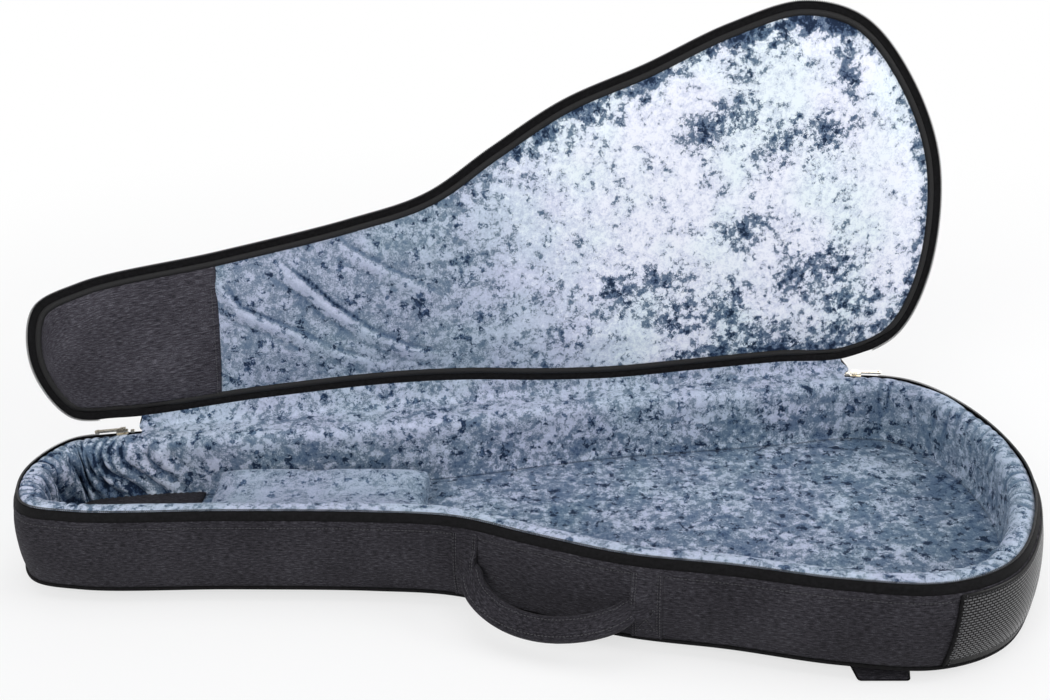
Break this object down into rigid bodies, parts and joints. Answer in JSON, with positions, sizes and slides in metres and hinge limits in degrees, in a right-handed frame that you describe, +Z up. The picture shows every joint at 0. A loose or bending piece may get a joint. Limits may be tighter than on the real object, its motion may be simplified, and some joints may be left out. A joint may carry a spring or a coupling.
{
  "type": "padded gig bag",
  "caption": "Padded guitar gig bag lying open: foam base tray with plush lining, neck cradle, carry handle and shoulder straps, zipped lid raised on a fabric hinge.",
  "frame": {"origin": "middle of the bag's length, on the face of the back pad that the bag lies on", "axes": "+X along the bag from the headstock end to the tail, +Y towards the hinge side, +Z up"},
  "size_m": [1.107, 0.5299, 0.5512],
  "materials": {
    "charcoal_fabric": "woven melange",
    "velvet": "crushed velvet",
    "foam": "closed cell foam",
    "black_tape": "woven tape",
    "bumper": "embossed",
    "zip_coil": "nylon",
    "black_pad": "mesh and webbing",
    "black_plastic": "moulded",
    "zip_metal": "pale polished"
  },
  "bodies": {
    "base": {"back_panel": "charcoal_fabric", "base_gusset": "charcoal_fabric", "bottom_piping": "black_tape", "end_bumper": "bumper", "bumper_piping": "black_tape", "base_floor_foam": "foam", "base_wall_foam": "foam", "wall_lining": "velvet", "floor_lining": "velvet", "headstock_floor_pad": "charcoal_fabric", "cradle_foam": "foam", "cradle_cover": "velvet", "zipper_tape_base": "black_tape", "zipper_coil_base": "zip_coil", "zip_stops": "zip_metal", "handle_band_left": "charcoal_fabric", "handle_band_right": "charcoal_fabric", "hinge_strip": "black_tape", "back_pad": "black_pad", "strap_yoke": "charcoal_fabric", "strap_anchor_front": "charcoal_fabric", "strap_anchor_rear": "charcoal_fabric", "anchor_rings": "zip_metal"},
    "lid": {"lid_shell": "charcoal_fabric", "lid_foam": "foam", "lid_lining": "velvet", "lid_headstock_patch": "charcoal_fabric", "lid_seam_binding": "black_tape", "zipper_tape_lid": "black_tape", "zipper_coil_lid": "zip_coil", "pocket_body": "charcoal_fabric", "pocket_zip_tape": "black_tape"},
    "handle": {"carry_handle": "charcoal_fabric"},
    "strap_front": {"shoulder_strap_front": "black_pad", "strap_webbing_front": "black_pad", "ladder_lock_front": "black_plastic", "strap_hook_front": "black_plastic"},
    "strap_rear": {"shoulder_strap_rear": "black_pad", "strap_webbing_rear": "black_pad", "ladder_lock_rear": "black_plastic", "strap_hook_rear": "black_plastic"},
    "slider_left": {"zip_slider_left": "zip_metal"},
    "slider_right": {"zip_slider_right": "zip_metal"},
    "pull_left": {"zip_pull_left": "zip_metal"},
    "pull_right": {"zip_pull_right": "zip_metal"},
    "pocket_slider": {"pocket_slider": "zip_metal"},
    "pocket_pull": {"pocket_pull": "zip_metal"}
  },
  "joints": [
    {"name": "lid_hinge", "type": "hinge", "parent": "base", "child": "lid", "pos_m": [-0.444, 0.0965, 0.10975], "axis": [-0.9879, -0.1551, 0], "range_deg": [-95, 85], "deforming": ["hinge_strip"]},
    {"name": "handle_swing", "type": "hinge", "parent": "base", "child": "handle", "pos_m": [-0.041, -0.12628, 0.06], "axis": [0.926, -0.3776, 0], "range_deg": [-110, 30]},
    {"name": "strap_front_swing", "type": "hinge", "parent": "base", "child": "strap_front", "pos_m": [-0.034, -0.046, 0.0004], "axis": [0, 1, 0], "range_deg": [0, 75]},
    {"name": "strap_rear_swing", "type": "hinge", "parent": "base", "child": "strap_rear", "pos_m": [-0.034, 0.046, 0.0004], "axis": [0, 1, 0], "range_deg": [0, 75]},
    {"name": "zip_left_slide", "type": "slide", "parent": "base", "child": "slider_left", "axis": [-0.9824, -0.1868, 0], "range_m": [0, 0.015]},
    {"name": "zip_right_slide", "type": "slide", "parent": "base", "child": "slider_right", "axis": [0.9982, -0.06, 0], "range_m": [0, 0.015]},
    {"name": "pull_left_turn", "type": "hinge", "parent": "slider_left", "child": "pull_left", "pos_m": [-0.46, 0.09, 0.1097], "axis": [0, 0, -1], "range_deg": [0, 110]},
    {"name": "pull_right_turn", "type": "hinge", "parent": "slider_right", "child": "pull_right", "pos_m": [0.406, 0.22169, 0.1097], "axis": [0, 0, 1], "range_deg": [0, 110]},
    {"name": "pocket_zip_slide", "type": "slide", "parent": "lid", "child": "pocket_slider", "axis": [0.1666, -0.061, -0.9841], "range_m": [0, 0.105]},
    {"name": "pocket_pull_turn", "type": "hinge", "parent": "pocket_slider", "child": "pocket_pull", "pos_m": [-0.03455, 0.22875, 0.32479], "axis": [0.9739, 0.1666, 0.1545], "range_deg": [0, 150]}
  ]
}
